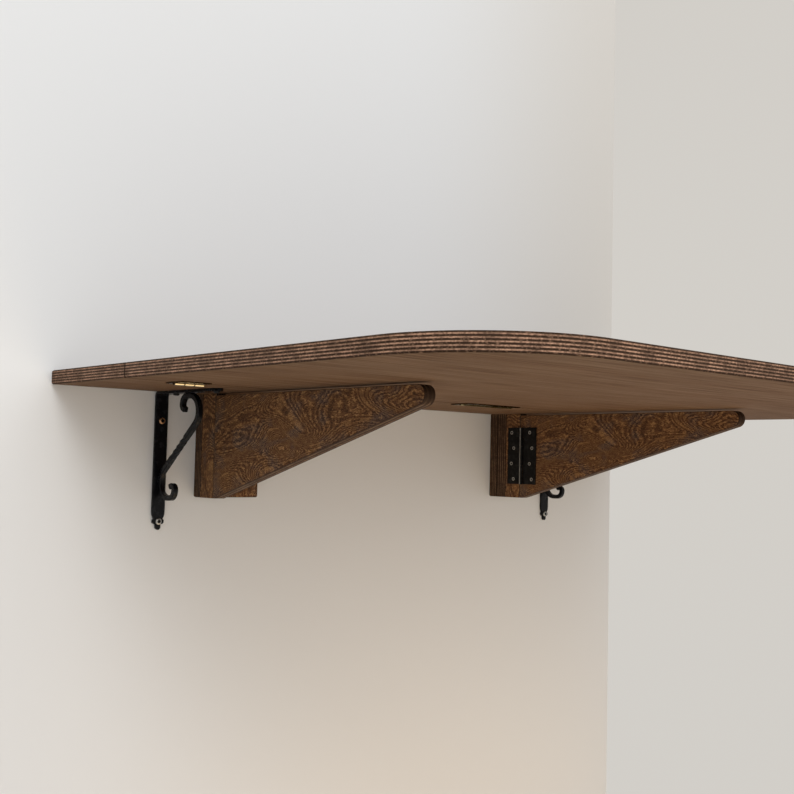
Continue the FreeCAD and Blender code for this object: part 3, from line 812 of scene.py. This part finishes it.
def scroll_bar(x, strap):
    """One bar: from a twist in its diagonal to the curl under the shelf, and to the one below.

    It lies on both legs of an angle, whose strap has this thickness.
    """
    width, seat = SCROLL_BAR * MM, strap + SCROLL_BAR * MM / 2
    upper_radius, lower_radius = UPPER_SCROLL[0][0] * MM, LOWER_SCROLL[0][0] * MM
    upper = (SCROLL_REACH * MM - upper_radius, -seat - upper_radius)
    lower = (seat + lower_radius, -SCROLL_DROP * MM + LOWER_SCROLL[1][0] * MM)
    lean = math.atan2(upper[1] - lower[1], upper[0] - lower[0])
    slope = lean - math.asin((upper_radius + lower_radius) / math.dist(upper, lower))
    out, up = math.cos(slope), math.sin(slope)
    high = (upper[0] + upper_radius * up, upper[1] - upper_radius * out)
    low = (lower[0] - lower_radius * up, lower[1] + lower_radius * out)
    twist_length, quarters = TWIST
    stub = (math.dist(high, low) - twist_length * MM) / 2
    start = (low[0] + stub * out, low[1] + stub * up)
    bar = Scroll(x, start, slope, width)
    bar.line(twist_length * MM, math.radians(90 * quarters), steps=10 * quarters)

    def curl(moves):
        """The rest of the diagonal, and the scroll that it runs into."""
        bar.line(stub)
        (radius, turn), *rest = moves
        bar.follow([(radius, turn - math.degrees(slope)), *rest])
        bar.tip()

    curl(UPPER_SCROLL)
    bar.turn_back(start, slope + math.pi)
    curl(LOWER_SCROLL)
    bmesh.ops.recalc_face_normals(bar.bm, faces=bar.bm.faces)
    return bar.bm


# ---- Operators -----------------------------------------------------------------------------------


class TABLE_OT_node_groups(bpy.types.Operator):
    """Make the shared node groups"""

    bl_idname = "drop_leaf_table.node_groups"
    bl_label = "Node Groups"

    def execute(self, context):
        make_straight_grain()
        make_wild_figure()
        make_ply_edge()
        make_rubbed_metal()
        return {"FINISHED"}


class TABLE_OT_boards(bpy.types.Operator):
    """Dress the shelf board and the drop leaf board"""

    bl_idname = "drop_leaf_table.boards"
    bl_label = "Boards"

    def execute(self, context):
        looks = context.scene.table_timber
        low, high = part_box("shelf_board")
        shelf = solid_of("shelf_board")
        for z, up in ((low.z, -1), (high.z, 1)):
            shave(shelf, Vector((0, high.y, z)), Vector((0, 1, up)), looks.wall_edge_round)
        self.finish(shelf, "shelf_board", low.y, high.z - low.z, looks)
        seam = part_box("drop_leaf_board")[1].y
        self.finish(solid_of("drop_leaf_board"), "drop_leaf_board", seam, high.z - low.z, looks)
        return {"FINISHED"}

    def finish(self, board, node, seam, thickness, looks):
        """Round a board's edges at its side of the seam, and show it."""
        round_edges(board, looks.seam_round, X, lambda co: abs(co.y - seam) < CLOSE, segments=3)
        name = "Stained Plywood " + node.replace("_", " ")
        material = board_plywood(name, looks, thickness, both_edges=node == "shelf_board")
        show(board, node, material, looks.soft_edge)


class TABLE_OT_gate_brackets(bpy.types.Operator):
    """Dress the wall plates, the packer, the hinge posts and the arms"""

    bl_idname = "drop_leaf_table.gate_brackets"
    bl_label = "Gate Brackets"

    def execute(self, context):
        looks = context.scene.table_timber
        for side in SIDES:
            for kind, lie, plies in BRACKET_PANELS:
                node = f"{side}_{kind}"
                if node not in frame["nodes"]:
                    continue
                low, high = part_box(node)
                thickness = high.y - low.y if lie is FLAT_ON_WALL else high.x - low.x
                name = f"Figured Plywood {side} {kind}"
                material = figured_plywood(name, looks, lie, tuple(low), thickness, plies)
                panel = solid_of(node)
                if kind == "wall_plate":
                    foot = low.z
                    round_edges(
                        panel, looks.plate_corner, Y, lambda co: abs(co.z - foot) < CLOSE,
                        segments=4,
                    )
                show(panel, node, material, looks.soft_edge)
        return {"FINISHED"}


class TABLE_OT_hinges(bpy.types.Operator):
    """Dress the black arm hinges and the brass flap hinges"""

    bl_idname = "drop_leaf_table.hinges"
    bl_label = "Hinges"

    def execute(self, context):
        looks = context.scene.table_metal
        pale_zinc = dimmed(looks.zinc, 1.3)
        bright = metal("Bright Pin", looks.zinc, pale_zinc, (0.25, 0.35), 1.0, 0.01 * MM)
        for side in SIDES:
            self.arm_hinge(side, bright, looks)
        for side in FLAP_HINGES:
            self.flap_hinge(side, looks)
        return {"FINISHED"}

    def arm_hinge(self, side, bright, looks):
        hinge = f"{side}_arm_hinge"
        low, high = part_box(f"{hinge}_fixed_leaf")
        crest, outward = (high.x, 1.0) if side == "left" else (low.x, -1.0)
        # The barrels' crest line is wear and a painted highlight.
        black = metal(
            f"Hinge Steel {side}", looks.steel, looks.rubbed_steel, (0.40, 0.55), 0.0, 0.03 * MM,
            gloss=0.10, wear_and_painted_light=worn_crest_highlight(crest, outward, looks.bare_steel_highlight),
        )
        dress(f"{hinge}_fixed_leaf", black, looks.soft_edge)
        dress(f"{hinge}_moving_leaf", black, looks.soft_edge)
        dress(f"{hinge}_pin", bright, looks.soft_edge)

    def flap_hinge(self, side, looks):
        """The left hinge is bright. The others are tarnished, but for a painted glint at their left
        ends.
        """
        hinge = f"{side}_flap_hinge"
        low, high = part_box(f"{hinge}_pin")
        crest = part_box(f"{hinge}_fixed_leaf")[0].z
        if side == "left":
            tone, glint_width, painted_glint_end, rim = 1.0, 1.4 * MM, None, (1, 1, 1, 1)
        else:
            # The tarnished hinges keep a narrow painted highlight and get a painted glint at their
            # left ends.
            tone, glint_width, painted_glint_end, rim = 0.12, 0.5 * MM, looks.brass, looks.brass_sheen
        brass = metal(
            f"Hinge Brass {side}", dimmed(looks.brass, tone), dimmed(looks.brass, tone * 0.7),
            (0.18, 0.40), 1.0, 0.04 * MM, rim=rim,
            wear_and_painted_light=patina_and_painted_glints(
                low.x, high.x - low.x, crest, glint_width, looks.patina, painted_glint_end
            ),
        )
        for kind in ("fixed_leaf", "moving_leaf", "pin"):
            dress(f"{hinge}_{kind}", brass, looks.soft_edge * 1.5)


class TABLE_OT_ironwork(bpy.types.Operator):
    """Dress the bent bars, and bend a smooth bar for each scroll"""

    bl_idname = "drop_leaf_table.ironwork"
    bl_label = "Ironwork"

    def execute(self, context):
        looks = context.scene.table_metal
        iron = metal(
            "Satin Black Iron", looks.iron, looks.rubbed_iron, (0.22, 0.34), 0.0, 0.10 * MM,
            gloss=0.14,
        )
        for side in SIDES:
            dress(f"{side}_iron_angle", iron, looks.soft_edge * 2)
            low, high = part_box(f"{side}_iron_scroll")
            bar = scroll_bar((low.x + high.x) / 2, strap=-high.z)
            show(bar, f"{side}_iron_scroll", iron, looks.soft_edge * 4, segments=3)
        return {"FINISHED"}


class TABLE_OT_screws(bpy.types.Operator):
    """Turn all the screws, with crossed recesses in their heads"""

    bl_idname = "drop_leaf_table.screws"
    bl_label = "Screws"

    def execute(self, context):
        looks = context.scene.table_metal

        # Painted shade: the screws' recesses are coloured near black from the marked corners.
        def recess(net, at, rub, skin):
            recess_shade_depth = net.add("ShaderNodeAttribute", attribute_name="Recess").outputs["Fac"]
            return net.span(recess_shade_depth, 0.02, 0.25), skin, looks.painted_recess_shade

        def bare(name, tint, roughness):
            return metal(name, tint, dimmed(tint, 0.6), roughness, 1.0, 0.015 * MM, wear_and_painted_light=recess)

        zinc = bare("Zinc Screw", looks.zinc, (0.30, 0.45))
        brass = bare("Brass Screw", looks.patina, (0.30, 0.45))
        copper = bare("Copper Screw", looks.copper, (0.35, 0.50))
        black = metal(
            "Black Screw", looks.steel, looks.rubbed_black, (0.4, 0.5), 0, 0.02 * MM, gloss=0.3
        )
        up, into_wall, out_of_wall = (0, 0, 1), (0, 1, 0), (0, -1, 0)
        for side in FLAP_HINGES:
            for kind in ("fixed", "moving"):
                self.countersunk(f"{side}_flap_hinge_{kind}_screws", brass, up, FLAP_HINGE_SCREW)
        for side in SIDES:
            inward = (-1, 0, 0) if side == "left" else (1, 0, 0)
            for kind in ("fixed", "moving"):
                self.countersunk(f"{side}_arm_hinge_{kind}_screws", zinc, inward, ARM_HINGE_SCREW)
            self.countersunk(f"{side}_post_screws", zinc, out_of_wall, POST_SCREW)
            strap = -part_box(f"{side}_iron_scroll")[1].z
            thread_from = PAN_HEAD[-1][1] * MM + strap
            self.pan(f"{side}_iron_top_screw", copper, into_wall, WALL_SCREW, thread_from)
            self.pan(f"{side}_iron_tip_screw", zinc, into_wall, WALL_SCREW, thread_from)
            self.pan(f"{side}_iron_shelf_screws", black, up, SHELF_SCREW)
        return {"FINISHED"}

    def countersunk(self, node, material, direction, screw):
        head, shank = (radius * MM for radius in screw)
        fit_screws(
            node, material, direction, lambda length: countersunk_rings(head, shank, length),
            [head * share for share in FLAT_RECESS],
        )

    def pan(self, node, material, direction, screw, thread_from=None):
        """A pan head on the iron. Behind it a wall screw has a thread."""
        head, shank = (radius * MM for radius in screw)
        fit_screws(
            node, material, direction, lambda length: pan_rings(head, shank, length, thread_from),
            [head * share for share in PAN_RECESS], PAN_SIDES,
        )


class TABLE_OT_stage(bpy.types.Operator):
    """Add the wall, the floor, the lamps and the camera"""

    bl_idname = "drop_leaf_table.stage"
    bl_label = "Stage"

    def execute(self, context):
        looks = context.scene.table_stage
        drop = looks.floor_drop
        upright = Matrix.Translation((0, looks.wall_gap, 0)) @ Matrix.Rotation(math.pi / 2, 4, "X")
        level = Matrix.Translation((0, 0, -drop))
        # The wall carries painted shade towards its end.
        plaster = one_sided_paint("Wall Paint", looks.wall, looks.painted_shade_wall, looks.wall_end)
        ground = one_sided_paint("Floor Paint", looks.floor)
        self.sheet("Wall", plaster, upright, (-STAGE_REACH, looks.wall_end), (-drop, WALL_HEIGHT))
        self.sheet("Floor", ground, level, (-STAGE_REACH, STAGE_REACH), (-FLOOR_DEPTH, 0.0))
        self.lamp("Key", (-1.9, -2.3, 2.7), (-0.1, -0.1, 0.2), size=2.0, power=58, tint=DAYLIGHT)
        self.lamp("Front", (-0.2, -3.2, 1.6), (0.1, 0, 0.6), size=3.0, power=38, tint=DAYLIGHT)
        glow = (0.15, -0.75, 0.01 - drop)
        self.lamp("Low", glow, (0.15, -0.75, 0), size=1.2, power=4.2, tint=FLOOR_GLOW)
        self.world(looks)
        self.camera()
        return {"FINISHED"}

    def sheet(self, name, material, place, across, along):
        """A plain sheet, laid out flat by its spans across and along, and then put in its place."""
        size = Matrix.Diagonal((across[1] - across[0], along[1] - along[0], 1, 1))
        centre = Matrix.Translation((sum(across) / 2, sum(along) / 2, 0))
        bm = bmesh.new()
        bmesh.ops.create_grid(
            bm, x_segments=1, y_segments=1, size=0.5, matrix=place @ centre @ size
        )
        mesh = mesh_of(bm, name)
        mesh.materials.append(material)
        stand(name, mesh)

    def lamp(self, name, at, towards, size, power, tint):
        data = bpy.data.lights.new(name, "AREA")
        data.size, data.energy, data.color = size, power, tint
        lamp = stand(name, data)
        lamp.visible_camera = False
        lamp.location = at
        lamp.rotation_euler = (Vector(towards) - Vector(at)).to_track_quat("-Z", "Y").to_euler()

    def world(self, looks):
        """Even light from all round. The camera and the gloss see a plain pale backdrop instead."""
        world = bpy.data.worlds.new("Studio")
        world.use_nodes = True
        net = Net(world.node_tree)
        light = world.node_tree.nodes["Background"]
        tint, strength = ROOM_LIGHT
        net.feed(light, {"Color": tint, "Strength": strength})
        plain = net.add("ShaderNodeBackground", {"Color": looks.beyond, "Strength": 1.0})
        path = net.add("ShaderNodeLightPath").outputs
        seen = net.math("MAXIMUM", path["Is Camera Ray"], path["Is Glossy Ray"])
        seen = net.math("MAXIMUM", seen, path["Is Transmission Ray"])
        net.mixed_shader(seen, light, plain, "World Output")
        bpy.context.scene.world = world

    def camera(self):
        """Stands to the left of the table and a little under it, and looks along it to the wall."""
        data = bpy.data.cameras.new("Camera")
        data.sensor_width = SENSOR_WIDTH
        data.lens = CAMERA_LENS
        data.clip_start, data.clip_end = 0.05, 50
        yaw, pitch, roll = (math.radians(turn) for turn in CAMERA_TURNS)
        camera = stand("Camera", data)
        camera.matrix_world = (
            Matrix.Translation(CAMERA_PLACE)
            @ Matrix.Rotation(-yaw, 4, "Z") @ Matrix.Rotation(math.pi / 2 + pitch, 4, "X")
            @ Matrix.Rotation(roll, 4, "Z")
        )
        bpy.context.scene.camera = camera
        bpy.context.scene.view_settings.view_transform = "Standard"


class TABLE_PT_panel(bpy.types.Panel):
    """Lists the table's steps and looks in the sidebar"""

    bl_label = "Drop Leaf Table"
    bl_idname = "TABLE_PT_panel"
    bl_space_type = "VIEW_3D"
    bl_region_type = "UI"
    bl_category = "Drop Leaf Table"

    def draw(self, context):
        for step in STEPS:
            self.layout.operator(step.bl_idname)
        for group in GROUPS:
            looks = getattr(context.scene, group)
            for name in looks.bl_rna.properties.keys():
                if name not in ("rna_type", "name"):
                    self.layout.prop(looks, name)


STEPS = (
    TABLE_OT_node_groups,
    TABLE_OT_boards,
    TABLE_OT_gate_brackets,
    TABLE_OT_hinges,
    TABLE_OT_ironwork,
    TABLE_OT_screws,
    TABLE_OT_stage,
)
GROUPS = {
    "table_timber": TABLE_PG_timber,
    "table_metal": TABLE_PG_metal,
    "table_stage": TABLE_PG_stage,
}


def register():
    for cls in (*GROUPS.values(), *STEPS, TABLE_PT_panel):
        bpy.utils.register_class(cls)
    for name, cls in GROUPS.items():
        setattr(bpy.types.Scene, name, bpy.props.PointerProperty(type=cls))


def unregister():
    for name in GROUPS:
        delattr(bpy.types.Scene, name)
    for cls in (TABLE_PT_panel, *reversed(STEPS), *reversed(GROUPS.values())):
        bpy.utils.unregister_class(cls)


def main():
    register()
    for step in STEPS:
        family, name = step.bl_idname.split(".")
        getattr(getattr(bpy.ops, family), name)()


if __name__ == "__main__":
    main()
